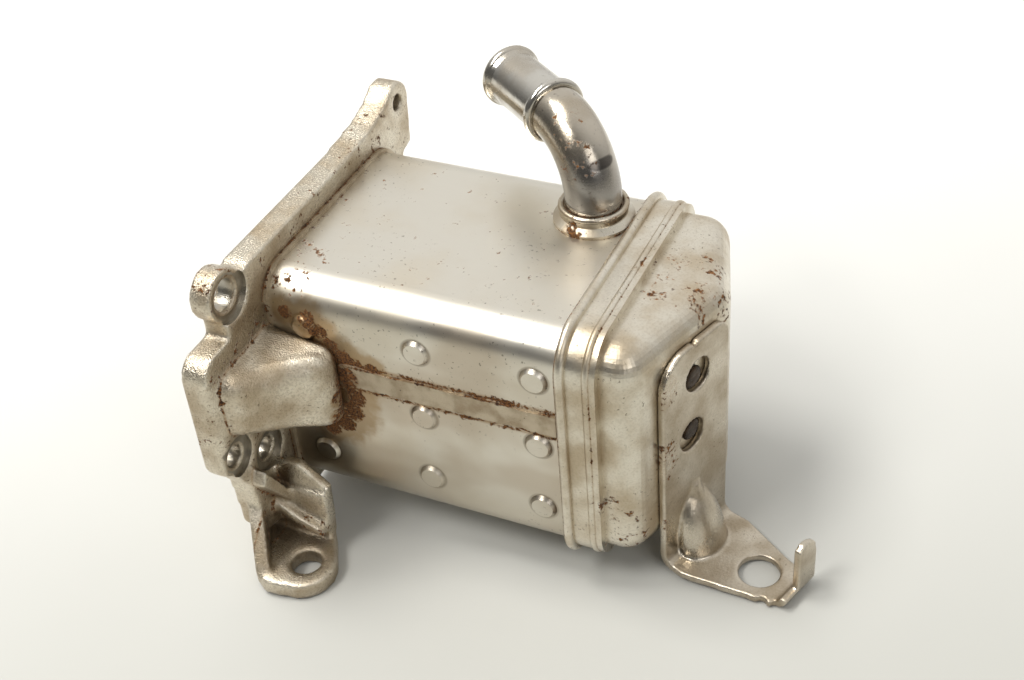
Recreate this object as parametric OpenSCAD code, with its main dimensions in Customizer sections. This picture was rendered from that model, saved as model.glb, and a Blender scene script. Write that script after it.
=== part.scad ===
// Exhaust gas recirculation cooler: a two-pass gas cooler in a pressed steel case on a cast flange.
// X runs along the case from the flange's gasket face, Y goes away from the hood side, Z is up.

/* [Case] */
// Half depth of the case across the two gas passes
case_hy = 37.5; // [32:0.5:46]
// Half height of the case
case_hz = 37; // [32:0.5:46]
// Outside corner radius of the case
case_r = 10; // [6:0.5:13]
// Sheet thickness of case and cap
sheet = 1.2; // [0.8:0.1:2]
// Where the cap's rolled lip sits, from the gasket face
lip_x = 95.2; // [85:0.2:120]
// Height of the side seam above the middle
seam_z = 9.2; // [6:0.1:11]
// Half width of the brazed seam strip
seam_hw = 3; // [2:0.1:3.4]
// Thickness of the brazed seam strip
seam_t = 0.5; // [0.3:0.1:0.8]
// Distance between dimple columns
dimple_dx = 34; // [28:0.5:36]
// Distance between dimple rows
dimple_dz = 22.5; // [20:0.5:24]
// First dimple column
dimple_x = 19.8; // [18:0.1:24]
// Top dimple row
dimple_z = 23.9; // [22:0.1:25]
// Radius of a dimple at its foot
dimple_r = 4; // [3:0.1:4.2]
// How far a dimple stands proud
dimple_h = 1; // [0.6:0.1:1.2]

/* [End cap] */
// Length of the cap's band from lip to crease
band_len = 9.9; // [8:0.1:14]
// How far the drawn pan is set in from the case sides
pan_in = 1.5; // [1:0.1:3]
// Edge radius of the pan
pan_r = 8; // [6:0.5:10]
// Reach of the pan's ridge beyond the crease
pan_reach = 22; // [19:0.5:28]
// Sideways place of the ridge
ridge_y = 3; // [-4:0.5:6]
// Slant of the pan's two end faces
slant = 18.5; // [12:0.5:22]
// Radius of the rolled lip
lip_r = 1.4; // [1:0.1:1.8]

/* [Gas core] */
// Gas tubes stacked in each pass
rows = 4; // [4:1:4]
// Wall between the two passes
pass_gap = 6; // [5:0.5:9]
// Water space beside the tubes
side_gap = 3.3; // [2.5:0.1:5]
// Outside height of a gas tube
tube_h = 12; // [10:0.5:13]
// Wall of a gas tube
tube_t = 0.8; // [0.6:0.1:1]
// Thickness of the tube plates
plate_t = 1.5; // [1:0.1:2]
// Sheet thickness of the inner fins
fin_t = 0.4; // [0.3:0.1:0.6]
// Channels in each inner fin
fin_n = 5; // [3:1:6]

/* [Flange] */
// Thickness of the cast flange
flange_t = 8; // [6.5:0.5:10]
// Edge of the flange beyond the case
flange_rim = 7.5; // [6:0.5:9]
// Reach of the hood side of the flange
lobe_y = 68; // [66:0.5:72]
// Diameter of the large bolt holes
bolt_d = 9; // [8.4:0.1:10]
// Diameter of the small bolt holes
small_d = 6.6; // [6:0.1:7]
// Depth of the turned bolt seats
seat_depth = 1.5; // [1:0.1:2]
// Diameter of the hole in the far ear
ear_d = 5; // [4:0.1:6]
// Rounding of the long front edges
edge_r = 3; // [2:0.2:3.4]

/* [Water hood] */
// Outside radius of the hood's edges
hood_r = 5; // [4:0.2:6]
// Wall of the hood
hood_t = 3; // [2.4:0.1:3.4]
// Bore of the water port in the gasket face
port_d = 13; // [10:0.5:14]

/* [Leg] */
// Level of the leg's foot, top side
foot_z = -45; // [-47:0.5:-44]
// Thickness of the leg's foot
foot_t = 5.5; // [4.5:0.5:7]
// Turn of the foot away from the case
foot_turn = 60; // [55:1:65]
// Half width of the foot's round end
foot_r = 9.8; // [8.5:0.1:10.5]
// Bore in the leg's foot
foot_d = 8.8; // [8:0.1:9.5]

/* [Water pipe] */
// Outside diameter of the pipe
pipe_d = 16; // [14:0.5:18]
// Wall of the pipe
pipe_t = 1; // [0.8:0.1:1.5]
// Place of the pipe along the case
pipe_x = 82.6; // [78:0.1:83]
// Place of the pipe across the case
pipe_y = 18.5; // [14:0.5:24]
// Straight rise before the bend
pipe_rise = 6.5; // [6.5:0.5:14]
// Bend radius of the pipe
bend_r = 18; // [16:0.5:26]
// Bend angle of the pipe
bend_deg = 90; // [70:1:100]
// Turn of the bend toward the far side
pipe_turn = 36.5; // [20:0.5:45]
// Length from the hose bead to the open end
spigot_len = 27.5; // [22:0.5:32]
// Rise of the hose bead over the pipe
bead_h = 1.5; // [1.2:0.1:2.4]

/* [Bracket] */
// Sheet thickness of the bracket
bracket_t = 2.2; // [1.8:0.1:3]
// Width of the upright plate
bracket_w = 28; // [25:0.5:29]
// Top of the upright plate
bracket_top = 28.2; // [26:0.1:29]
// Level of the bracket's foot, top side
shelf_z = -42; // [-45:0.5:-41]
// Sideways place of the upright plate
bracket_y = -13.5; // [-14.5:0.1:-12]
// Bore in the bracket's foot
shelf_d = 11.5; // [9:0.1:12]
// Reach of the bracket's foot to the upturned tab
shelf_len = 35; // [32:0.5:40]
// Height of the upturned tab
tab_h = 17; // [12:0.5:20]
// Diameter of the two weld holes
weld_d = 10; // [8:0.2:11]

/* [Hidden] */
$fn = 64;
in_hy = case_hy - sheet;
in_hz = case_hz - sheet;
in_r = case_r - sheet;
crease_x = lip_x + band_len;
case_end = crease_x - sheet;
case_len = case_end - flange_t;
core_end = lip_x - 1.2;
tube_w = in_hy - pass_gap / 2 - side_gap;
tube_y = pass_gap / 2 + tube_w / 2;
row_pitch = 2 * in_hz / rows;
fin_h = tube_h - 2 * tube_t;
fin_pitch = (tube_w - tube_h - 2 * fin_t) / fin_n;
pan_hy = case_hy - pan_in;
pan_hz = case_hz - pan_in;
ridge_x = crease_x + pan_reach;
face_n = cos(slant) * ridge_x - sin(slant) * ridge_y;
bracket_x = (face_n + sin(slant) * bracket_y) / cos(slant);
rim_y = case_hy + flange_rim;
rim_z = case_hz + flange_rim;
boss = [-case_hy - 12.8, rim_z - 4];
boss_r = 7.5;
ear = [rim_y + 0.5, rim_z + 0.8];
ear_r = 6.5;
far_boss = [rim_y + 0.5, -rim_z + 1.5];
far_r = 8;
low_bolt = [-lobe_y + 6, -6.8];
in_bolt = [-case_hy - 11, -15.5];
lobe_top = 29;
lobe_low = -12;
tail_y = lobe_y - 9;
tail_z = -39;
hood_in = [flange_t + 1, -lobe_y + 9];
hood_out = [flange_t + 15, -case_hy - 3.2];
foot_at = [flange_t + 13.2, -case_hy - 22.8];
leg_x = flange_t + 16.5;
leg_y = case_hy + 8.5;
pipe_r = pipe_d / 2;
weld_at = [[0.8, bracket_top - 11.2], [-1.6, bracket_top - 30.7]];
bend_in = 3;
tab_in = 2;
bend_z = case_hz + pipe_rise;
spigot_at = [bend_r * cos(bend_deg) - bend_r, bend_r * sin(bend_deg)];

// A flat shape in Y and Z, drawn out along X from x for the length len
module along_x(x, len) {
    translate([x, 0, 0])
        rotate([90, 0, 90])
            linear_extrude(len)
                children();
}

// A flat shape in X and Z, drawn out along Y from y for the length len
module along_y(y, len) {
    translate([0, y + len, 0])
        rotate([90, 0, 0])
            linear_extrude(len)
                children();
}

// A rectangle of half sizes hy and hz with round corners
module round_rect(hy, hz, r) {
    square([2 * (hy - r), 2 * hz], center = true);
    square([2 * hy, 2 * (hz - r)], center = true);
    for (y = [-1, 1], z = [-1, 1])
        translate([y * (hy - r), z * (hz - r)])
            circle(r);
}

// A round bead laid along a rectangle with round corners, standing at x
module bead_ring(x, hy, hz, r, bead) {
    for (y = [-1, 1])
        translate([x, y * hy, -(hz - r)])
            cylinder(h = 2 * (hz - r), r = bead);
    for (z = [-1, 1])
        translate([x, -(hy - r), z * hz])
            rotate([-90, 0, 0])
                cylinder(h = 2 * (hy - r), r = bead);
    for (q = [0 : 3])
        rotate([q * 90, 0, 0]) {
            cy = (q % 2 == 0 ? hy : hz) - r;
            cz = (q % 2 == 0 ? hz : hy) - r;
            translate([x, cy, cz])
                rotate([90, 0, 90])
                    rotate_extrude(angle = 90)
                        translate([r, 0])
                            circle(bead, $fn = 32);
        }
}

// One pressed dimple that grows out of a side face
module dimple(x, z, side, grow) {
    translate([x, side * (case_hy - grow), z])
        rotate([-90 * side, 0, 0])
            cylinder(h = dimple_h + (grow > 0 ? 0.01 : 0), r1 = dimple_r - grow, r2 = dimple_r - 0.9 - grow);
}

// All dimples of the two side faces; one on the near side is taken up by the hood
module dimples(grow) {
    for (side = [-1, 1], i = [0 : 2], j = [0 : 2])
        if (!(side == -1 && i == 0 && j == 1))
            dimple(dimple_x + i * dimple_dx, dimple_z - j * dimple_dz, side, grow);
}

// The case as one solid block, dimples and all
module case_block() {
    along_x(flange_t, case_len)
        round_rect(case_hy, case_hz, case_r);
    dimples(0);
}

// The pressed case as one hollow sleeve
module case_sleeve() {
    difference() {
        case_block();
        along_x(flange_t - 1, case_len + 2)
            round_rect(in_hy, in_hz, in_r);
        dimples(sheet);
        translate([pipe_x, pipe_y, 0])
            cylinder(h = case_hz + 5, r = pipe_r);
        along_y(-case_hy - 3, 6)
            translate([flange_t + 9.5, seam_z - 1.5])
                round_rect(5.5, 5.5, 2.5);
    }
}

// Upper pressing of the case, down to the side seam
module upper_case() {
    color("silver")
        intersection() {
            case_sleeve();
            translate([0, -2 * case_hy, seam_z])
                cube([2 * crease_x, 4 * case_hy, 2 * case_hz]);
        }
}

// Lower pressing of the case, up to the side seam
module lower_case() {
    color("silver")
        difference() {
            case_sleeve();
            translate([0, -2 * case_hy, seam_z])
                cube([2 * crease_x, 4 * case_hy, 2 * case_hz]);
        }
}

// Braze strip over a side seam, with edges that wander as the filler ran
module seam_strip(side, x0) {
    x1 = lip_x - lip_r - 0.4;
    step = (x1 - x0) / 24;
    top = [for (i = [0 : 24]) [x0 + i * step, seam_z + 1.4 * seam_hw + 0.5 * sin(i * 47)]];
    low = [for (i = [24 : -1 : 0]) [x0 + i * step, seam_z - seam_hw + 0.4 * sin(i * 61)]];
    color("tan")
        along_y(side < 0 ? -case_hy - seam_t : case_hy, seam_t)
            polygon(concat(top, low));
}

// Braze round the foot of the case, left open where the hood stands
module flange_braze() {
    color("tan")
        difference() {
            along_x(flange_t, 1.3)
                round_rect(case_hy + 1.2, case_hz + 1.2, case_r + 1.2);
            along_x(flange_t - 1, 4)
                round_rect(case_hy, case_hz, case_r);
            translate([0, -case_hy - 10, -12])
                cube([40, 12, 42]);
        }
}

// The drawn pan of the end cap, grown inward by the sheet where it is hollowed
module pan(cut) {
    r = pan_r - cut;
    side_n = face_n - pan_r;
    near_x = (side_n - sin(slant) * (pan_hy - pan_r)) / cos(slant);
    top_x = (side_n + sin(slant) * ridge_y) / cos(slant);
    far_x = top_x - tan(slant) * (pan_hy - pan_r - ridge_y);
    hull() {
        along_x(crease_x - sheet - cut, 0.4)
            round_rect(pan_hy - cut, pan_hz - cut, pan_r - cut);
        for (z = [-1, 1], p = [[near_x, -pan_hy + pan_r], [top_x, ridge_y], [far_x, pan_hy - pan_r]])
            translate([p[0], p[1], z * (pan_hz - pan_r)])
                rotate([0, 0, -slant])
                    sphere(r, $fn = 40);
    }
}

// End cap: rolled lip, band over the case end, crease bead and drawn pan
module end_cap() {
    color("silver")
        difference() {
            union() {
                along_x(lip_x, band_len)
                    round_rect(case_hy + sheet, case_hz + sheet, case_r + sheet);
                bead_ring(lip_x + 0.4, case_hy + 1.6, case_hz + 1.6, case_r + 1.6, lip_r);
                bead_ring(crease_x - 2.6, case_hy + 0.7, case_hz + 0.7, case_r + 0.7, 1.1);
                pan(0);
            }
            along_x(lip_x - 5, band_len + 5 - sheet)
                round_rect(case_hy, case_hz, case_r);
            pan(sheet);
        }
}

// Outline of the cast flange in Y and Z, seen from the case
module flange_outline() {
    round_rect(rim_y, rim_z, 6);
    translate(boss)
        circle(boss_r);
    translate([boss[0], boss[1] - boss_r])
        square([20, boss_r + 3.5]);
    translate(ear)
        circle(ear_r);
    polygon([[rim_y - 40, rim_z - 2], [rim_y - 40, rim_z - 0.1], [rim_y - 26, rim_z + 0.4], [rim_y - 15, rim_z + 1.6],
        [rim_y - 7, rim_z + 3.8], [ear[0] - 3.4, ear[1] + 5.5], [ear[0] + ear_r, ear[1]], [ear[0] + 5, 29],
        [rim_y - 6, 27]]);
    translate(far_boss)
        circle(far_r);
    translate([0, far_boss[1]])
        square([far_boss[0], 12]);
    lobe();
}

// Near side of the outline: notch under the top boss, broad lobe, tail toward the leg
module lobe() {
    translate([-lobe_y + 6, lobe_top - 6])
        circle(6);
    translate([-lobe_y + 4, lobe_low + 4])
        circle(4);
    translate([-lobe_y, lobe_low + 4])
        square([30, lobe_top - lobe_low - 10]);
    translate([-lobe_y + 6, lobe_top - 8])
        square([30, 8]);
    polygon([[-lobe_y + 4, lobe_low + 6], [-lobe_y + 3, lobe_low + 0.2], [-tail_y - 0.8, -20], [-tail_y + 1, tail_z],
        [-tail_y + 5, tail_z - 2], [-case_hy, -rim_z], [0, -rim_z], [0, lobe_low + 6]]);
    translate([boss[0] - 4, lobe_top - 2])
        square([30, 12]);
}

// Water hood: a skewed box with round edges that leads from the flange to the case side
module hood(cut) {
    r = hood_r - cut;
    top_in = lobe_top - 12;
    top_out = top_in - 7.4;
    hull() {
        for (p = [[hood_in[0], hood_in[1], top_in], [hood_in[0], hood_in[1], 6],
            [hood_in[0], -case_hy + 1, top_in], [hood_in[0], -case_hy + 1, -1],
            [hood_out[0], hood_out[1], top_out], [hood_out[0], hood_out[1], -1],
            [hood_out[0], -case_hy + 1, top_out], [hood_out[0], -case_hy + 1, -1]])
            translate(p)
                sphere(r, $fn = 32);
    }
}

// Leg under the near side: web with a ledge, bent roof over a pocket, blade rib and foot
module leg() {
    web_y = -leg_y - 2.4;
    along_y(web_y, 3.4)
        polygon([[0, -21], [flange_t, -20.5], [leg_x - 9, -18.9], [leg_x, -26.6],
            [leg_x - 1, foot_z], [2, foot_z], [0, tail_z]]);
    along_y(web_y - 1.4, 1.6)
        polygon([[1, -28], [leg_x - 0.3, -28], [leg_x - 1.2, foot_z + 0.1], [1, foot_z + 0.1]]);
    along_y(web_y - 5, 5.2)
        polygon([[5, -30], [flange_t + 1.4, -32], [flange_t + 6.7, -35.5], [leg_x - 1, -39.3],
            [leg_x - 1, -42.2], [flange_t + 6, -38.6], [5, -33.6]]);
    along_x(flange_t - 1, 5.6)
        polygon([[web_y - 10, -14], [web_y + 0.8, -32.2], [web_y + 0.8, -36.4], [web_y - 12, -18.5]]);
    intersection() {
        translate([0, -3 * leg_y, foot_z - foot_t])
            cube([2 * leg_x, 2 * leg_y - 0.5, 2 * foot_t - foot_z]);
        translate([foot_at[0], foot_at[1], 0])
            rotate([0, 0, -foot_turn])
                foot_form();
    }
}

// Foot plate and blade rib in the foot's own turn, bolt hole at the middle
module foot_form() {
    translate([0, 0, foot_z - foot_t])
        linear_extrude(foot_t) {
            translate([0, -1])
                circle(foot_r);
            translate([-26, -1 - foot_r])
                square([26, 2 * foot_r]);
            polygon([[-26, -14.7], [1, -14.7], [5.6, -12.4], [8, -7.6], [-26, 0]]);
        }
    along_y(-14.4, 4.2)
        polygon([[-26, -28], [-9.4, -28], [1, foot_z + 4], [4.2, foot_z - 0.5], [-26, foot_z - 0.5]]);
}

// A bolt hole through the flange with a turned seat on the front
module bolt_hole(at, d, seat) {
    translate([-1, at[0], at[1]])
        rotate([0, 90, 0])
            cylinder(h = flange_t + 4, d = d);
    translate([flange_t - seat_depth, at[0], at[1]])
        rotate([0, 90, 0])
            cylinder(h = seat_depth + 2.5, d = seat);
}

// Cutter that rounds a straight outer edge of the front face
module edge_round(len) {
    in = edge_r + 0.4;
    difference() {
        translate([-edge_r, -edge_r, 0])
            cube([edge_r + 1, edge_r + 1, len]);
        translate([-in, -in, -1])
            cylinder(h = len + 2, r = sqrt(in * in + 0.16) - 0.03);
    }
}

// Cast flange with bosses, far ear, water hood, leg and the two gas ports
module flange_casting() {
    color("darkgray")
        difference() {
            union() {
                along_x(0, flange_t)
                    flange_outline();
                difference() {
                    hood(0);
                    case_block();
                }
                leg();
            }
            for (s = [-1, 1])
                along_x(-1, flange_t + 2)
                    translate([s * tube_y, 0])
                        round_rect(tube_w / 2 + 1, in_hz - 4, 6);
            intersection() {
                hood(hood_t);
                translate([flange_t + 0.6, -case_hy - 50, -50])
                    cube([60, 60, 100]);
            }
            translate([-1, -case_hy - 14.5, seam_z + 3])
                rotate([0, 90, 0])
                    cylinder(h = flange_t + 3, d = port_d);
            bolt_hole(boss, bolt_d, 2 * boss_r + 1);
            bolt_hole(far_boss, bolt_d, 2 * far_r - 1);
            bolt_hole(low_bolt, small_d, 13);
            bolt_hole(in_bolt, small_d, 13);
            translate([-1, ear[0], ear[1]])
                rotate([0, 90, 0])
                    cylinder(h = flange_t + 2, d = ear_d);
            translate([foot_at[0], foot_at[1], foot_z - foot_t - 1])
                cylinder(h = foot_t + 2, d = foot_d);
            translate([flange_t, -lobe_y, lobe_low + 1])
                mirror([0, 1, 0])
                    edge_round(lobe_top - lobe_low - 8);
        }
}

// Wall of the pipe seen on end, drawn thinner where it is bent
module pipe_ring(thin) {
    difference() {
        circle(pipe_r - thin);
        circle(pipe_r - pipe_t + thin);
    }
}

// Half section of the straight hose end: upset shoulder over the bend, rolled bead, wall and flared lip
module spigot_profile() {
    bore = pipe_r - pipe_t - 0.15;
    translate([bore, -0.6])
        square([pipe_r + 0.25 - bore, 2.2]);
    translate([bore, 0])
        square([pipe_r - bore, spigot_len]);
    translate([pipe_r - 0.2, 1.6])
        intersection() {
            translate([bead_h - 1.2, 0])
                circle(1.4, $fn = 32);
            translate([0, -2])
                square(4);
        }
    translate([pipe_r - 0.3, spigot_len - 2])
        intersection() {
            translate([-0.3, 0])
                circle(1.75, $fn = 32);
            translate([0, -2])
                square(4);
        }
    polygon([[pipe_r - 0.3, spigot_len - 5.2], [pipe_r + 0.62, spigot_len - 3.2], [pipe_r - 0.3, spigot_len - 2]]);
}

// Bent water pipe with a rolled hose bead and a flared end
module coolant_pipe() {
    color("silver") {
        translate([pipe_x, pipe_y, case_hz - sheet])
            linear_extrude(pipe_rise + sheet + 0.4)
                pipe_ring(0);
        translate([pipe_x, pipe_y, bend_z])
            rotate([0, 0, -pipe_turn]) {
                translate([-bend_r, 0, 0])
                    rotate([90, 0, 0])
                        rotate_extrude(angle = bend_deg)
                            translate([bend_r, 0])
                                pipe_ring(0.06);
                translate([spigot_at[0], 0, spigot_at[1]])
                    rotate([0, -bend_deg, 0])
                        rotate_extrude()
                            spigot_profile();
            }
    }
}

// Collar round the pipe's foot: flared skirt, waist and rolled rim
module pipe_collar() {
    color("silver")
        translate([pipe_x, pipe_y, case_hz])
            difference() {
                union() {
                    cylinder(h = 1, r = pipe_r + 3.4);
                    translate([0, 0, 1])
                        cylinder(h = 1.4, r1 = pipe_r + 3.4, r2 = pipe_r + 1.6);
                    cylinder(h = 4.6, r = pipe_r + 1.4);
                    translate([0, 0, 4.6])
                        rotate_extrude()
                            translate([pipe_r + 1, 0])
                                circle(0.9, $fn = 32);
                }
                translate([0, 0, -1])
                    cylinder(h = 12, r = pipe_r);
            }
}

// Work in the bracket's own turn: x out of the pan face, y along it
module on_face() {
    translate([bracket_x, bracket_y, 0])
        rotate([0, 0, -slant])
            children();
}

// Flat outline of the upright plate, with a locating nick in its top edge
module riser_outline() {
    hw = bracket_w / 2;
    low = shelf_z + bend_in;
    difference() {
        union() {
            translate([-hw, low])
                square([bracket_w, bracket_top - low - 10]);
            translate([-hw + 10, bracket_top - 12])
                square([bracket_w - 15, 12]);
            translate([hw - 8, bracket_top - 12])
                square([8, 7]);
            translate([-hw + 10, bracket_top - 10])
                circle(10);
            translate([hw - 5, bracket_top - 5])
                circle(5);
        }
        translate([-1, bracket_top - 1])
            square([1.6, 3]);
        for (p = weld_at)
            translate(p)
                circle(d = weld_d);
    }
}

// Quarter of a bent sheet in X and Z, with its middle at the given place
module sheet_bend(at, inner, way) {
    intersection() {
        translate(at)
            difference() {
                circle(inner + bracket_t);
                circle(inner);
            }
        translate([at[0] + (way < 0 ? -inner - bracket_t : 0), at[1] - inner - bracket_t])
            square(inner + bracket_t);
    }
}

// Flat outline of the bracket's foot between its two bends
module shelf_outline() {
    hw = bracket_w / 2;
    end = shelf_len - tab_in;
    difference() {
        polygon([[bend_in + bracket_t, -hw], [8, -hw - 0.3], [shelf_len - 4.4, -8], [end, -7.6], [end, 7.8],
            [shelf_len - 7.6, 8.8], [10.3, hw], [bend_in + bracket_t, hw]]);
        translate([24, 0])
            circle(d = shelf_d);
        translate([shelf_len - 4.4, -8.6])
            circle(1.5);
    }
}

// Pressed steel bracket: upright, formed gusset, tapered foot and upturned tab
module support_bracket() {
    hw = bracket_w / 2;
    color("silver")
        on_face() {
            along_x(0, bracket_t)
                riser_outline();
            along_y(-hw, bracket_w)
                sheet_bend([bend_in + bracket_t, shelf_z + bend_in], bend_in, -1);
            translate([0, 0, shelf_z - bracket_t])
                linear_extrude(bracket_t)
                    shelf_outline();
            along_y(-6.4, 14)
                sheet_bend([shelf_len - tab_in, shelf_z + tab_in], tab_in, 1);
            along_x(shelf_len, bracket_t) {
                translate([-0.6, shelf_z + tab_in])
                    square([8.2, tab_h - tab_in - 5]);
                polygon([[-0.6, shelf_z + tab_h - 6], [-0.6, shelf_z + tab_h - 1.4], [1.6, shelf_z + tab_h],
                    [4, shelf_z + tab_h - 0.3], [6.6, shelf_z + tab_h - 2], [7.6, shelf_z + tab_h - 6]]);
            }
            gusset();
        }
}

// Formed gusset in the inside of the bracket's bend
module gusset() {
    intersection() {
        translate([bracket_t - 1.2, -0.5, shelf_z + 21])
            rotate([0, 172.4, 0])
                cylinder(h = 24, r1 = 2.2, r2 = 7.4);
        translate([bracket_t - 0.1, -20, shelf_z - 0.1])
            cube([16, 40, 40]);
    }
}

// Weld fill in the two round holes of the upright
module bracket_welds() {
    color("dimgray")
        on_face()
            for (i = [0, 1])
                translate([0, weld_at[i][0] + (i == 0 ? -0.9 : 0.9), weld_at[i][1] + (i == 0 ? -0.9 : 0.9)])
                    rotate([0, 90, 0])
                        cylinder(h = bracket_t * 0.6, d = weld_d - 2.8);
}

// Middle of gas tube i in Y and Z, counted up through the near pass, then the far one
function tube_at(i) = [(i < rows ? -1 : 1) * tube_y, (i % rows - (rows - 1) / 2) * row_pitch];

// Plate that holds the ends of all gas tubes
module tube_plate(x) {
    color("silver")
        along_x(x, plate_t)
            difference() {
                round_rect(in_hy, in_hz, in_r);
                for (i = [0 : 2 * rows - 1])
                    translate(tube_at(i))
                        round_rect(tube_w / 2, tube_h / 2, tube_h / 2 - 0.01);
            }
}

// One flat gas tube with round ends
module gas_tube(i) {
    color("lightgray")
        along_x(flange_t, core_end - flange_t)
            translate(tube_at(i))
                difference() {
                    round_rect(tube_w / 2, tube_h / 2, tube_h / 2 - 0.01);
                    round_rect(tube_w / 2 - tube_t, fin_h / 2, fin_h / 2 - 0.01);
                }
}

// Square-wave fin sheet inside one gas tube
module tube_fin(i) {
    color("gainsboro")
        along_x(flange_t + 4, core_end - flange_t - 8)
            translate(tube_at(i))
                for (k = [0 : fin_n])
                    translate([(k - fin_n / 2) * fin_pitch, 0]) {
                        square([fin_t, fin_h], center = true);
                        if (k < fin_n)
                            translate([-fin_t / 2, k % 2 == 0 ? fin_h / 2 - fin_t : -fin_h / 2])
                                square([fin_pitch + fin_t, fin_t]);
                    }
}

flange_casting();
upper_case();
lower_case();
seam_strip(-1, flange_t + 20.6);  // near_seam
seam_strip(1, flange_t + 1.6);  // far_seam
flange_braze();
end_cap();
coolant_pipe();
pipe_collar();
support_bracket();
bracket_welds();
tube_plate(flange_t);  // front_tube_plate
tube_plate(core_end - plate_t);  // rear_tube_plate
gas_tube(0);  // gas_tube_1
gas_tube(1);  // gas_tube_2
gas_tube(2);  // gas_tube_3
gas_tube(3);  // gas_tube_4
gas_tube(4);  // gas_tube_5
gas_tube(5);  // gas_tube_6
gas_tube(6);  // gas_tube_7
gas_tube(7);  // gas_tube_8
tube_fin(0);  // tube_fin_1
tube_fin(1);  // tube_fin_2
tube_fin(2);  // tube_fin_3
tube_fin(3);  // tube_fin_4
tube_fin(4);  // tube_fin_5
tube_fin(5);  // tube_fin_6
tube_fin(6);  // tube_fin_7
tube_fin(7);  // tube_fin_8
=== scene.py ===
# Exhaust gas cooler: finishes, softened casting and bracket, floor, light and camera

import math

import bpy
from mathutils import Matrix, Vector


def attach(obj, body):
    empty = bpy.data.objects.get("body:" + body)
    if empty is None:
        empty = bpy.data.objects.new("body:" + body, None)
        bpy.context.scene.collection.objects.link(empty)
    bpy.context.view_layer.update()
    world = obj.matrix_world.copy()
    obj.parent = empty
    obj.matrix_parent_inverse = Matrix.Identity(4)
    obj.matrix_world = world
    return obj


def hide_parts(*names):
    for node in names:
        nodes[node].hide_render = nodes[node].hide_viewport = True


MM = 0.001

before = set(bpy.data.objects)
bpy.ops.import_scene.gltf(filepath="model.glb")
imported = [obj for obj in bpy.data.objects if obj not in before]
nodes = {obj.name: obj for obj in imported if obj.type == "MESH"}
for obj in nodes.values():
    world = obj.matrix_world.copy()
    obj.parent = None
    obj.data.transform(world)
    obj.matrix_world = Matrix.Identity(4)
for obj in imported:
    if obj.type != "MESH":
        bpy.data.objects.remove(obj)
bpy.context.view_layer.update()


# Sizes of the cooler that the finishes and pieces follow, in mm

CASE_Y = -37.5
CASE_TOP = 37
FLANGE_T = 8
SEAM_Z = 9.2
LIP_X = 95.2
DIMPLE_X, DIMPLE_DX = 19.8, 34
DIMPLE_Z, DIMPLE_DZ = 23.9, 22.5
DIMPLE_EDGE = 4.05
PIPE_X, PIPE_Y = 82.6, 18.5
BEND_R = 18
PIPE_TURN = math.radians(36.5)
BRACKET_AT = Vector((121.58, -13.5, 0))
SLANT = math.radians(18.5)

# Where the part touches the floor
LEG_REST = Vector((28.3, -58.5, -50.51))
BOSS_REST = Vector((5.2, 45.8, -50.95))
BRACKET_REST = Vector((155.0, -17.3, -44.2))


# Camera, as fitted to the photograph's straight edges

EYE = Vector((219.7, -298.6, 272.2)) * MM
AZIMUTH = math.radians(27.666)
ELEVATION = math.radians(38.694)
ROLL = math.radians(5.317)
LENS = 52.9
SENSOR = 36


def place_camera():
    level_reach = math.cos(ELEVATION)
    back = Vector((math.sin(AZIMUTH) * level_reach, -math.cos(AZIMUTH) * level_reach, math.sin(ELEVATION)))
    level = (-back).cross(Vector((0, 0, 1))).normalized()
    down = (-back).cross(level)
    right = level * math.cos(ROLL) + down * math.sin(ROLL)
    up = back.cross(right)
    cam = bpy.data.objects.new("photo_camera", bpy.data.cameras.new("photo_camera"))
    cam.data.lens = LENS
    cam.data.sensor_width = SENSOR
    cam.data.clip_start = 10 * MM
    turn = Matrix((right, up, back)).transposed().to_4x4()
    cam.matrix_world = Matrix.Translation(EYE) @ turn
    bpy.context.scene.collection.objects.link(cam)
    bpy.context.scene.camera = cam


place_camera()


# Node helpers

MIX_COLOR_A, MIX_COLOR_B, MIX_COLOR_RESULT = 6, 7, 2


def add(tree, kind, **settings):
    node = tree.nodes.new(kind)
    for key, value in settings.items():
        setattr(node, key, value)
    return node


def feed(tree, socket, value):
    if isinstance(value, bpy.types.NodeSocket):
        tree.links.new(value, socket)
    else:
        socket.default_value = value


def calc(tree, operation, first, second=0.0, clamp=False):
    node = add(tree, "ShaderNodeMath", operation=operation, use_clamp=clamp)
    feed(tree, node.inputs[0], first)
    feed(tree, node.inputs[1], second)
    return node.outputs[0]


def plus(tree, first, second):
    return calc(tree, "ADD", first, second)


def minus(tree, first, second):
    return calc(tree, "SUBTRACT", first, second)


def times(tree, first, second):
    return calc(tree, "MULTIPLY", first, second)


def fade(tree, value, start, end, low_shade=0.0, high=1.0):
    node = add(tree, "ShaderNodeMapRange", interpolation_type="SMOOTHSTEP")
    feed(tree, node.inputs["Value"], value)
    for name, number in (("From Min", start), ("From Max", end), ("To Min", low_shade), ("To Max", high)):
        feed(tree, node.inputs[name], number)
    return node.outputs["Result"]


def blend_color(tree, factor, first, second):
    node = add(tree, "ShaderNodeMix", data_type="RGBA")
    feed(tree, node.inputs["Factor"], factor)
    for index, value in ((MIX_COLOR_A, first), (MIX_COLOR_B, second)):
        is_socket = isinstance(value, bpy.types.NodeSocket)
        feed(tree, node.inputs[index], value if is_socket else (*value, 1))
    return node.outputs[MIX_COLOR_RESULT]


def blend_value(tree, factor, first, second):
    node = add(tree, "ShaderNodeMix", data_type="FLOAT")
    for name, value in (("Factor", factor), ("A", first), ("B", second)):
        feed(tree, node.inputs[name], value)
    return node.outputs[0]


def darker(tone, share):
    return tuple(part * share for part in tone)


def object_place(tree):
    return add(tree, "ShaderNodeTexCoord").outputs["Object"]


def split_place(tree, place):
    split = add(tree, "ShaderNodeSeparateXYZ")
    feed(tree, split.inputs[0], place)
    return split.outputs


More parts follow.
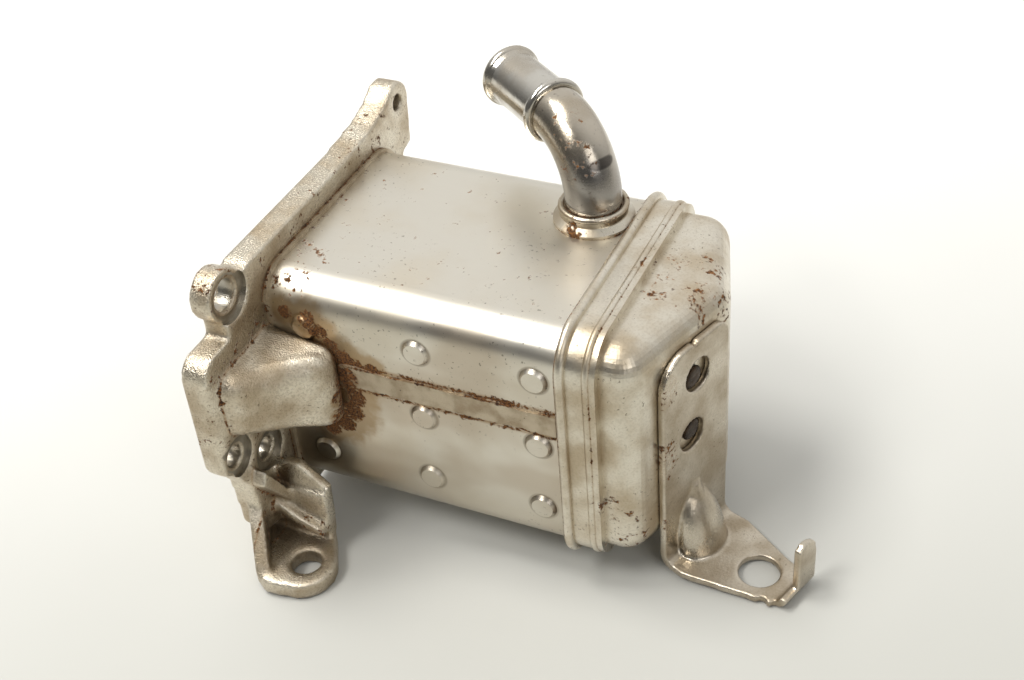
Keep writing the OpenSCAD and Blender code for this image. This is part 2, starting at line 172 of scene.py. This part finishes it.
def cloud(tree, place, scale, detail, stretch=(1, 1, 1)):
    turn = add(tree, "ShaderNodeMapping")
    feed(tree, turn.inputs["Vector"], place)
    turn.inputs["Scale"].default_value = stretch
    node = add(tree, "ShaderNodeTexNoise")
    feed(tree, node.inputs["Vector"], turn.outputs["Vector"])
    feed(tree, node.inputs["Scale"], scale)
    node.inputs["Detail"].default_value = detail
    return node.outputs["Fac"]


def new_material(name):
    mat = bpy.data.materials.new(name)
    mat.use_nodes = True
    return mat, mat.node_tree, mat.node_tree.nodes["Principled BSDF"]


def new_group(name, takes, gives):
    tree = bpy.data.node_groups.new(name, "ShaderNodeTree")
    for label, value in takes:
        tree.interface.new_socket(label, in_out="INPUT", socket_type="NodeSocketFloat").default_value = value
    for label, kind in gives:
        tree.interface.new_socket(label, in_out="OUTPUT", socket_type=kind)
    return tree, add(tree, "NodeGroupInput").outputs, add(tree, "NodeGroupOutput").inputs


def use_group(tree, group, **values):
    node = add(tree, "ShaderNodeGroup", node_tree=group)
    for key, value in values.items():
        feed(tree, node.inputs[key], value)
    return node.outputs


# Effects that several finishes share

RUST_DARK = (0.036, 0.014, 0.005)
RUST_BRIGHT = (0.22, 0.09, 0.022)


def make_rust_bloom():
    tree, takes, gives = new_group(
        "rust_bloom",
        [("Near", 0.0), ("Scale", 400.0), ("Spread", 0.5)],
        [("Mask", "NodeSocketFloat"), ("Color", "NodeSocketColor")],
    )
    place = object_place(tree)
    fine = cloud(tree, place, takes["Scale"], 6)
    broad = cloud(tree, place, times(tree, takes["Scale"], 0.28), 3)
    mottle = plus(tree, times(tree, fine, 0.55), times(tree, broad, 0.45))
    held = times(tree, minus(tree, takes["Near"], 1.0), 0.5)
    level = minus(tree, plus(tree, mottle, held), minus(tree, 1.0, takes["Spread"]))
    feed(tree, gives["Mask"], fade(tree, level, -0.03, 0.05))
    tone = fade(tree, cloud(tree, place, times(tree, takes["Scale"], 2.2), 5), 0.35, 0.65)
    feed(tree, gives["Color"], blend_color(tree, tone, RUST_DARK, RUST_BRIGHT))
    return tree


def make_steel_patina():
    tree, takes, gives = new_group(
        "steel_patina",
        [("Blotch", 60.0), ("Speck", 900.0), ("Amount", 0.4)],
        [("Stain", "NodeSocketFloat"), ("Specks", "NodeSocketFloat")],
    )
    place = object_place(tree)
    stain = fade(tree, cloud(tree, place, takes["Blotch"], 6), 0.36, 0.68)
    feed(tree, gives["Stain"], times(tree, stain, takes["Amount"]))
    specks = fade(tree, cloud(tree, place, takes["Speck"], 3), 0.64, 0.72)
    patches = fade(tree, cloud(tree, place, times(tree, takes["Blotch"], 0.6), 2), 0.48, 0.62)
    feed(tree, gives["Specks"], times(tree, specks, patches))
    return tree


RUST_BLOOM = make_rust_bloom()
STEEL_PATINA = make_steel_patina()


# Where rust gathers, as a closeness that is 1 at the place and falls to 0

X, Y, Z = 0, 1, 2
HEART = 1.7


def near_level(axis, at, width):
    def closeness(tree, xyz):
        gap = calc(tree, "ABSOLUTE", minus(tree, xyz[axis], at * MM))
        return calc(tree, "SUBTRACT", 1.0, calc(tree, "DIVIDE", gap, width * MM), clamp=True)

    return closeness


def near_point(x, y, z, radius):
    def closeness(tree, xyz):
        total = 0.0
        for socket, at in zip(xyz, (x, y, z)):
            gap = minus(tree, socket, at * MM)
            total = plus(tree, times(tree, gap, gap), total)
        reach = calc(tree, "DIVIDE", calc(tree, "SQRT", total), radius * MM)
        share = calc(tree, "SUBTRACT", 1.0, reach, clamp=True)
        return calc(tree, "MULTIPLY", share, HEART, clamp=True)

    return closeness


def both(first, second):
    def closeness(tree, xyz):
        return times(tree, first(tree, xyz), second(tree, xyz))

    return closeness


def at_strength(strength, spot):
    def closeness(tree, xyz):
        return times(tree, spot(tree, xyz), strength)

    return closeness


def nearest(tree, xyz, spots):
    near = 0.0
    for spot in spots:
        near = calc(tree, "MAXIMUM", spot(tree, xyz), near)
    return near


# Floor and light

FLOOR_SIZE = 6
FLOOR_NEAR_PAINTED_SHADE = (0.475, 0.475, 0.44)
FLOOR_FAR_PAINTED_LIGHT = (0.83, 0.83, 0.81)
WARM_WHITE = (1, 0.985, 0.95)
AIM = Vector((0.06, 0, 0))


# Floor colour with a painted light falloff: darker near the camera, lighter toward the far side
def floor_finish():
    mat, tree, shader = new_material("pale_floor")
    place = object_place(tree)
    xyz = split_place(tree, place)
    depth = minus(tree, xyz[Y], times(tree, xyz[X], 0.5))
    mottle = times(tree, cloud(tree, place, 9.0, 3), 0.05)
    painted_falloff = fade(tree, plus(tree, depth, mottle), -0.20, 0.26)
    feed(tree, shader.inputs["Base Color"], blend_color(tree, painted_falloff, FLOOR_NEAR_PAINTED_SHADE, FLOOR_FAR_PAINTED_LIGHT))
    shader.inputs["Roughness"].default_value = 0.6
    return mat


# The floor leans to the plane that the part rests on
def make_floor():
    bpy.ops.object.select_all(action="DESELECT")
    bpy.ops.mesh.primitive_plane_add(size=FLOOR_SIZE)
    floor = bpy.context.object
    floor.name = "studio_floor"
    rest = LEG_REST * MM
    normal = (BOSS_REST - LEG_REST).cross(BRACKET_REST - LEG_REST)
    for vertex in floor.data.vertices:
        out = vertex.co - rest
        vertex.co.z = rest.z - (normal.x * out.x + normal.y * out.y) / normal.z
    floor.data.materials.append(floor_finish())


def area_light(name, place, size, power, color):
    lamp = bpy.data.lights.new(name, "AREA")
    lamp.size = size
    lamp.energy = power
    lamp.color = color
    obj = bpy.data.objects.new(name, lamp)
    obj.location = place
    obj.rotation_mode = "QUATERNION"
    obj.rotation_quaternion = (AIM - Vector(place)).to_track_quat("-Z", "Y")
    bpy.context.scene.collection.objects.link(obj)


# Studio walls that brighten upward and toward the far side
def light_world():
    world = bpy.data.worlds.new("studio")
    world.use_nodes = True
    bpy.context.scene.world = world
    tree = world.node_tree
    back = tree.nodes["Background"]
    back.inputs["Color"].default_value = (1, 0.99, 0.965, 1)
    xyz = split_place(tree, add(tree, "ShaderNodeTexCoord").outputs["Generated"])
    sweep = plus(tree, times(tree, xyz[Z], 0.62), times(tree, xyz[Y], 0.6))
    feed(tree, back.inputs["Strength"], fade(tree, sweep, -0.15, 0.85, 0.12, 0.90))


make_floor()
light_world()
area_light("key_light", (-0.80, -0.10, 1.75), 0.7, 22, WARM_WHITE)
area_light("front_softbox", (-0.56, -0.85, 1.40), 0.55, 13, WARM_WHITE)
area_light("fill_light", (1.0, -0.7, 0.8), 0.7, 3.8, (1, 1, 1))

bpy.context.scene.view_settings.view_transform = "Standard"


# Finishes

HOLLOW_DIRT_AND_SHADE = (0.14, 0.10, 0.06)
SHELTER_PAINTED_SHADE = (0.16, 0.122, 0.082)
EDGE_WEAR_AND_HIGHLIGHT = (0.80, 0.75, 0.65)
RUST_STAIN = (0.34, 0.215, 0.105)
RELIEF_DEPTH = 0.4 * MM
SHELTER_REACH = 14 * MM


# Dirt and painted shade in hollows, wear and a painted highlight on the edges, painted shade in sheltered
# corners
def wear_and_painted_light(tree, color, amount):
    bulge = add(tree, "ShaderNodeNewGeometry").outputs["Pointiness"]
    # Hollows darker: dirt and painted shade
    color = blend_color(tree, fade(tree, bulge, 0.50, 0.43, 0.0, amount), color, HOLLOW_DIRT_AND_SHADE)
    # Convex edges lighter: wear and a painted highlight
    color = blend_color(tree, fade(tree, bulge, 0.51, 0.58, 0.0, amount), color, EDGE_WEAR_AND_HIGHLIGHT)
    # Painted shade in sheltered corners, found by ambient occlusion
    shelter = add(tree, "ShaderNodeAmbientOcclusion", samples=6)
    shelter.inputs["Distance"].default_value = SHELTER_REACH
    painted_shade = fade(tree, shelter.outputs["AO"], 0.78, 0.30, 0.0, 0.65 * amount)
    return blend_color(tree, painted_shade, color, SHELTER_PAINTED_SHADE)


# Steel with stains, specks, grain and rust; rust takes the metal's shine and stands proud
def steel_finish(
    name, tone, stain_tone, rough, blotch, stain, grain, bump, rust,
    stretch=(1, 1, 1), rust_scale=420, spread=0.5, tint=None, edges=0.0, fleck=0.0,
):
    mat, tree, shader = new_material(name)
    place = object_place(tree)
    xyz = split_place(tree, place)

    patina = use_group(tree, STEEL_PATINA, Blotch=blotch, Amount=stain)
    color = blend_color(tree, patina["Stain"], tone, stain_tone)
    if tint:
        color = tint(tree, xyz, color)
    color = blend_color(tree, times(tree, patina["Specks"], 0.8), color, darker(stain_tone, 0.35))
    if fleck:
        flecks = fade(tree, cloud(tree, place, 1500.0, 4), 0.44, 0.66, 0.0, fleck)
        color = blend_color(tree, flecks, color, darker(stain_tone, 0.6))
    # Dirt and wear, with painted shade in hollows and corners and a painted highlight on edges
    if edges:
        color = wear_and_painted_light(tree, color, edges)

    near = nearest(tree, xyz, rust)
    bloom = use_group(tree, RUST_BLOOM, Near=near, Scale=rust_scale, Spread=spread)
    mask = bloom["Mask"]
    haze = use_group(tree, RUST_BLOOM, Near=near, Scale=rust_scale * 0.5, Spread=spread + 0.16)
    halo = times(tree, haze["Mask"], fade(tree, near, 0.70, 0.96, 0.0, 0.62))
    color = blend_color(tree, halo, color, RUST_STAIN)
    feed(tree, shader.inputs["Base Color"], blend_color(tree, mask, color, bloom["Color"]))

    lines = cloud(tree, place, grain, 3, stretch)
    worn = plus(tree, times(tree, lines, 0.08), times(tree, patina["Stain"], 0.2))
    feed(tree, shader.inputs["Roughness"], blend_value(tree, mask, plus(tree, worn, rough), 0.9))
    feed(tree, shader.inputs["Metallic"], fade(tree, mask, 0.0, 1.0, 1.0, 0.05))

    relief = add(tree, "ShaderNodeBump")
    relief.inputs["Distance"].default_value = RELIEF_DEPTH
    relief.inputs["Strength"].default_value = bump
    crust = times(tree, mask, plus(tree, cloud(tree, place, rust_scale * 3.0, 2), 0.3))
    height = plus(tree, lines, times(tree, crust, 0.35 / max(bump, 0.1)))
    feed(tree, relief.inputs["Height"], height)
    feed(tree, shader.inputs["Normal"], relief.outputs["Normal"])
    return mat


# Straw and blue brazing colours on the pipe's bend, with one dark scuff
def heat_tint(tree, xyz, color):
    place = object_place(tree)
    out_x = times(tree, minus(tree, PIPE_X * MM, xyz[X]), math.cos(PIPE_TURN))
    out_y = times(tree, minus(tree, xyz[Y], PIPE_Y * MM), math.sin(PIPE_TURN))
    bend = fade(tree, plus(tree, out_x, out_y), (BEND_R - 0.5) * MM, (BEND_R + 1) * MM, 1.0, 0.0)
    wander = times(tree, minus(tree, cloud(tree, place, 110.0, 3), 0.5), 16 * MM)
    height = plus(tree, xyz[Z], wander)
    straw = blend_color(tree, times(tree, bend, 0.5), color, (0.40, 0.33, 0.235))
    blue = times(tree, fade(tree, height, 64 * MM, 50 * MM), bend)
    color = blend_color(tree, times(tree, blue, 0.5), straw, (0.24, 0.245, 0.265))
    scuff = both(near_level(Z, 56.3, 1.6), near_point(86.9, 16.4, 56, 5))(tree, xyz)
    return blend_color(tree, fade(tree, scuff, 0.05, 0.35, 0.0, 0.8), color, (0.07, 0.06, 0.055))


def off_row(tree, value, first, pitch):
    start = (first - pitch / 2) * MM
    step = calc(tree, "FLOORED_MODULO", minus(tree, value, start), pitch * MM)
    return minus(tree, step, pitch / 2 * MM)


# Painted shade in a thin ring round each dimple's raised edge
def dimple_shade_ring(tree, xyz):
    off_x = off_row(tree, xyz[X], DIMPLE_X, DIMPLE_DX)
    off_z = off_row(tree, xyz[Z], DIMPLE_Z, DIMPLE_DZ)
    span = plus(tree, times(tree, off_x, off_x), times(tree, off_z, off_z))
    gap = calc(tree, "ABSOLUTE", minus(tree, calc(tree, "SQRT", span), DIMPLE_EDGE * MM))
    return fade(tree, gap, 0.8 * MM, 0.1 * MM)


# Middle and reach of each rust patch on the near side, as x, z and radius
RUST_TRAIL = [
    (14.5, 27.6, 4), (21, 27, 5), (24, 23.5, 5), (27, 19, 5), (30.2, 15.4, 6), (34, 14.2, 5), (39, 14, 4),
    (32.5, 2, 6), (30.5, -3.5, 7), (27.5, -8.5, 6), (23, -12, 5),
]


def trail_spots(reach):
    return [near_point(x, CASE_Y, z, reach * radius) for x, z, radius in RUST_TRAIL]


# Brown bands and painted shade low on the near side, painted shade rings round the dimples, and stain that
# seeps from the rust
def case_tint(tree, xyz, color):
    place = object_place(tree)
    side = fade(tree, xyz[Y], -30 * MM, -36.5 * MM)
    bands = fade(tree, cloud(tree, place, 26.0, 2, (1, 1, 2.2)), 0.40, 0.62)
    color = blend_color(tree, times(tree, side, times(tree, bands, 0.55)), color, (0.47, 0.385, 0.29))
    # Painted shade rings round the dimples
    dimple_shade = times(tree, times(tree, dimple_shade_ring(tree, xyz), side), 0.6)
    color = blend_color(tree, dimple_shade, color, (0.22, 0.175, 0.125))
    # Painted shade: the near side darker towards the bottom
    low_shade = times(tree, side, fade(tree, xyz[Z], 0.0, -34 * MM))
    color = blend_color(tree, times(tree, low_shade, 0.5), color, (0.40, 0.355, 0.28))
    seep = nearest(tree, xyz, trail_spots(1.9))
    ragged = plus(tree, seep, minus(tree, cloud(tree, place, 320.0, 4), 0.5))
    return blend_color(tree, fade(tree, ragged, 0.25, 0.95, 0.0, 0.72), color, (0.36, 0.235, 0.105))


NEAR_SIDE = near_level(Y, CASE_Y, 4)
CASE_RUST = [at_strength(1.04, spot) for spot in trail_spots(1.0)] + [
    at_strength(0.90, near_level(X, FLANGE_T - 0.5, 10)),
    at_strength(0.97, both(NEAR_SIDE, near_level(Z, SEAM_Z + 4.9, 4.6))),
    at_strength(0.93, both(NEAR_SIDE, near_level(Z, SEAM_Z - 3.9, 4.0))),
    at_strength(0.84, near_level(X, LIP_X - 0.2, 3.4)),
    at_strength(0.80, near_point(83, 19, CASE_TOP, 17)),
    at_strength(0.74, near_point(10, -28, CASE_TOP - 1, 24)),
    at_strength(0.57, near_level(Z, CASE_TOP, 0.6)),
]
CAP_RUST = [
    near_level(X, LIP_X - 0.8, 1.6),
    at_strength(0.85, near_level(X, 103.4, 2.0)),
    at_strength(0.74, near_point(112, -34, -22, 26)),
    at_strength(0.74, near_point(116, 0, 33, 30)),
]
CAST_RUST = [
    at_strength(0.90, near_level(X, FLANGE_T + 0.6, 2.6)),
    near_point(28.5, -39, 9, 6),
    near_point(28.5, -41, 4, 6),
    near_point(27, -42, -1, 6),
    at_strength(0.74, near_point(20, -53, -40, 12)),
    at_strength(0.66, near_point(4, -68, 6, 24)),
    at_strength(0.74, near_point(4, -50, 42, 18)),
    at_strength(0.66, near_point(4, 10, 44, 50)),
]
BRACKET_RUST = [
    at_strength(0.80, near_point(121, -28, 20, 14)),
    at_strength(0.80, near_point(121, -28, -4, 14)),
    at_strength(0.80, near_point(122, -29, -28, 9)),
    at_strength(0.76, near_point(127, -14, 17, 8)),
    at_strength(0.76, near_point(126, -16, -2, 8)),
]
PIPE_RUST = [
    at_strength(0.92, near_level(Z, CASE_TOP + 5, 4)),
    at_strength(0.74, near_point(80, 14, 57, 14)),
    at_strength(0.72, near_point(76, 18, 66, 12)),
]
COLLAR_RUST = [
    at_strength(0.86, near_level(Z, CASE_TOP + 5, 2.6)),
    at_strength(0.90, near_level(Z, CASE_TOP + 0.2, 1.2)),
    at_strength(0.80, near_point(80, 7, 39, 8)),
]
BRAZE_RUST = [
    near_level(Z, SEAM_Z + 4.3, 2.4),
    near_level(Z, SEAM_Z - 3.1, 2.0),
    near_level(X, FLANGE_T, 3),
    near_point(30, -38, SEAM_Z, 9),
]
WELD_RUST = [at_strength(0.62, near_point(124, -14, 7, 60))]
CORE_RUST = [at_strength(0.7, near_level(X, FLANGE_T, 4))]

FINISHES = {
    "case": steel_finish(
        "satin_case_steel", (0.74, 0.705, 0.625), (0.60, 0.53, 0.415), rough=0.27, blotch=38, stain=0.55,
        grain=700, stretch=(0.12, 1, 1), bump=0.045, rust=CASE_RUST, rust_scale=800, spread=0.57,
        tint=case_tint,
    ),
    "cap": steel_finish(
        "drawn_cap_steel", (0.75, 0.70, 0.60), (0.47, 0.375, 0.25), rough=0.25, blotch=75, stain=0.8,
        grain=1500, bump=0.12, rust=CAP_RUST, rust_scale=700, spread=0.55, fleck=0.16,
    ),
    "cast": steel_finish(
        "cast_flange_steel", (0.74, 0.675, 0.555), (0.43, 0.335, 0.22), rough=0.24, blotch=95, stain=0.8,
        grain=2200, bump=0.65, rust=CAST_RUST, rust_scale=800, spread=0.56, edges=0.8, fleck=0.34,
    ),
    # Turned seats' grey, kept dark so that it also paints shade on the walls inside the bolt holes
    "seat": steel_finish(
        "turned_seat_steel", (0.44, 0.41, 0.355), (0.27, 0.235, 0.18), rough=0.24, blotch=200, stain=0.7,
        grain=3200, stretch=(0.3, 1, 1), bump=0.2, rust=CORE_RUST, rust_scale=700,
    ),
    "pipe": steel_finish(
        "polished_pipe_steel", (0.64, 0.615, 0.56), (0.40, 0.345, 0.27), rough=0.12, blotch=90, stain=0.7,
        grain=1400, bump=0.06, rust=PIPE_RUST, rust_scale=800, spread=0.55, tint=heat_tint,
    ),
    "collar": steel_finish(
        "brazed_collar_steel", (0.62, 0.575, 0.485), (0.40, 0.32, 0.215), rough=0.24, blotch=120, stain=0.7,
        grain=1500, bump=0.15, rust=COLLAR_RUST, rust_scale=700, spread=0.55,
    ),
    "bracket": steel_finish(
        "rolled_bracket_steel", (0.62, 0.56, 0.465), (0.38, 0.305, 0.21), rough=0.23, blotch=70, stain=0.8,
        grain=1700, stretch=(1, 1, 0.3), bump=0.22, rust=BRACKET_RUST, rust_scale=1000, spread=0.55,
        edges=0.28, fleck=0.2,
    ),
    "braze": steel_finish(
        "dull_braze", (0.60, 0.52, 0.40), (0.43, 0.345, 0.24), rough=0.45, blotch=160, stain=0.9,
        grain=2200, bump=0.6, rust=BRAZE_RUST, rust_scale=760, spread=0.56,
    ),
    "weld": steel_finish(
        "burnt_weld", (0.052, 0.034, 0.021), (0.016, 0.010, 0.006), rough=0.14, blotch=400, stain=0.9,
        grain=300, bump=0.7, rust=WELD_RUST, rust_scale=900,
    ),
    "core": steel_finish(
        "plain_core_steel", (0.66, 0.65, 0.61), (0.5, 0.46, 0.4), rough=0.3, blotch=60, stain=0.4,
        grain=1500, bump=0.1, rust=CORE_RUST,
    ),
}

# Nodes that wear another finish than the plain core
WEARS = {
    "flange_casting": "cast",
    "upper_case": "case",
    "lower_case": "case",
    "near_seam": "braze",
    "far_seam": "braze",
    "flange_braze": "braze",
    "end_cap": "cap",
    "coolant_pipe": "pipe",
    "pipe_collar": "collar",
    "support_bracket": "bracket",
    "bracket_welds": "weld",
}


def dress(piece, *finishes):
    piece.data.materials.clear()
    for finish in finishes:
        piece.data.materials.append(FINISHES[finish])


for name, obj in nodes.items():
    dress(obj, WEARS.get(name, "core"))


# Workshop steps for the softened pieces

MERGE = 0.01 * MM


def pick(obj):
    bpy.ops.object.select_all(action="DESELECT")
    obj.select_set(True)
    bpy.context.view_layer.objects.active = obj


def apply_modifier(obj, name, kind, **settings):
    pick(obj)
    mod = obj.modifiers.new(name, kind)
    for key, value in settings.items():
        setattr(mod, key, value)
    bpy.ops.object.modifier_apply(modifier=name)


# A copy of a node's mesh, merged into one closed skin
def soft_copy(name, node):
    piece = bpy.data.objects.new(name, nodes[node].data.copy())
    bpy.context.scene.collection.objects.link(piece)
    pick(piece)
    bpy.ops.object.mode_set(mode="EDIT")
    bpy.ops.mesh.select_all(action="SELECT")
    bpy.ops.mesh.remove_doubles(threshold=MERGE)
    bpy.ops.mesh.normals_make_consistent(inside=False)
    bpy.ops.object.mode_set(mode="OBJECT")
    return piece


def soften(piece, voxel, rounds):
    apply_modifier(piece, "recast", "REMESH", mode="VOXEL", voxel_size=voxel * MM)
    apply_modifier(piece, "soften", "SMOOTH", factor=0.5, iterations=rounds)


# Join, cut or trim a piece with a tool that is used up by it
def work(piece, operation, tool, **settings):
    apply_modifier(
        piece, "work", "BOOLEAN", operation=operation, object=tool, solver="EXACT", **settings
    )
    bpy.data.objects.remove(tool)


# A primitive at its place, with its turn and size in its mesh
def new_tool(add_primitive, place, turn, **sizes):
    bpy.ops.object.select_all(action="DESELECT")
    add_primitive(location=Vector(place) * MM, rotation=turn, **sizes)
    bpy.ops.object.transform_apply(location=True, rotation=True, scale=True)
    return bpy.context.object


# Cast flange with soft edges and a crowned hood, its bolt seats turned crisp again

HOOD_ROUND = 6.5
# Corners of the hood's crown by side: flange or case end, outer or inner face, low or high
HOOD_CORNERS = {
    (0, 0, 0): (6.0, -62.0, 1.0),
    (0, 1, 0): (6.0, -37.4, -5.0),
    (1, 0, 0): (29.0, -45.0, -5.6),
    (1, 1, 0): (30.0, -37.4, -5.6),
    (0, 0, 1): (6.0, -63.5, 21.5),
    (0, 1, 1): (6.0, -37.4, 23.5),
    (1, 0, 1): (29.0, -45.0, 17.0),
    (1, 1, 1): (30.0, -37.4, 20.8),
}
# Bolt seats as y, z, hole radius and seat radius
SEATS = [(-50.3, 40.5, 4.5, 8.0), (45.5, -43.0, 4.5, 7.5), (-62.0, -6.8, 3.3, 6.5), (-48.5, -15.5, 3.3, 6.5)]
SEAT_SPAN = (FLANGE_T - 1.55, FLANGE_T + 2.4)
HOLE_SPAN = (-1, FLANGE_T + 1)


def hood_crown():
    bpy.ops.object.select_all(action="DESELECT")
    bpy.ops.mesh.primitive_cube_add(size=2)
    crown = bpy.context.object
    for vertex in crown.data.vertices:
        side = tuple(1 if part > 0 else 0 for part in vertex.co)
        vertex.co = Vector(HOOD_CORNERS[side]) * MM
    apply_modifier(crown, "round", "BEVEL", width=HOOD_ROUND * MM, segments=6, limit_method="NONE")
    return crown


def seat_cutter(y, z, radius, span):
    start, end = span
    pin = new_tool(
        bpy.ops.mesh.primitive_cylinder_add, ((start + end) / 2, y, z), (0, math.pi / 2, 0),
        vertices=64, radius=radius * MM, depth=(end - start) * MM,
    )
    dress(pin, "seat")
    return pin


def make_soft_casting():
    piece = soft_copy("soft_cast_flange", "flange_casting")
    work(piece, "UNION", hood_crown())
    soften(piece, 0.7, 9)
    dress(piece, "cast", "seat")
    for y, z, hole, seat in SEATS:
        for radius, span in ((seat, SEAT_SPAN), (hole, HOLE_SPAN)):
            work(piece, "DIFFERENCE", seat_cutter(y, z, radius, span), material_mode="TRANSFER")
    pick(piece)
    bpy.ops.object.shade_smooth_by_angle(angle=math.radians(35))
    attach(piece, "root")
    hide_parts("flange_casting")


make_soft_casting()


# Bracket with its pressed gusset run softly into the sheet

SWELL_AT = (4.86, -0.59, -39.5)
SWELL_RADII = (5.6, 8.2, 17.0)
SWELL_LEAN = math.radians(14)
# The room between upright and foot, from inside the upright's sheet to inside the foot's
ROOM_AT = (15.8, 0, -21.6)
ROOM_SIZE = (30, 28, 43.6)


# From the bracket's own turn, x out of the cap's slanted face, to the part's frame
def on_face(place):
    return BRACKET_AT + Matrix.Rotation(-SLANT, 3, "Z") @ Vector(place)


def gusset_swell():
    swell = new_tool(
        bpy.ops.mesh.primitive_uv_sphere_add, on_face(SWELL_AT), (0, -SWELL_LEAN, -SLANT),
        segments=48, ring_count=24, radius=1, scale=Vector(SWELL_RADII) * MM,
    )
    room = new_tool(
        bpy.ops.mesh.primitive_cube_add, on_face(ROOM_AT), (0, 0, -SLANT),
        size=1, scale=Vector(ROOM_SIZE) * MM,
    )
    work(swell, "INTERSECT", room)
    return swell


def make_soft_bracket():
    piece = soft_copy("soft_pressed_bracket", "support_bracket")
    work(piece, "UNION", gusset_swell())
    soften(piece, 0.45, 7)
    dress(piece, "bracket")
    pick(piece)
    bpy.ops.object.shade_smooth_by_angle(angle=math.radians(50))
    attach(piece, "root")
    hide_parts("support_bracket")


make_soft_bracket()


# Weld fill drawn up into round buttons


def make_weld_buttons():
    piece = soft_copy("round_weld_buttons", "bracket_welds")
    soften(piece, 0.25, 90)
    dress(piece, "weld")
    pick(piece)
    bpy.ops.object.shade_smooth()
    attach(piece, "root")
    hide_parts("bracket_welds")


make_weld_buttons()
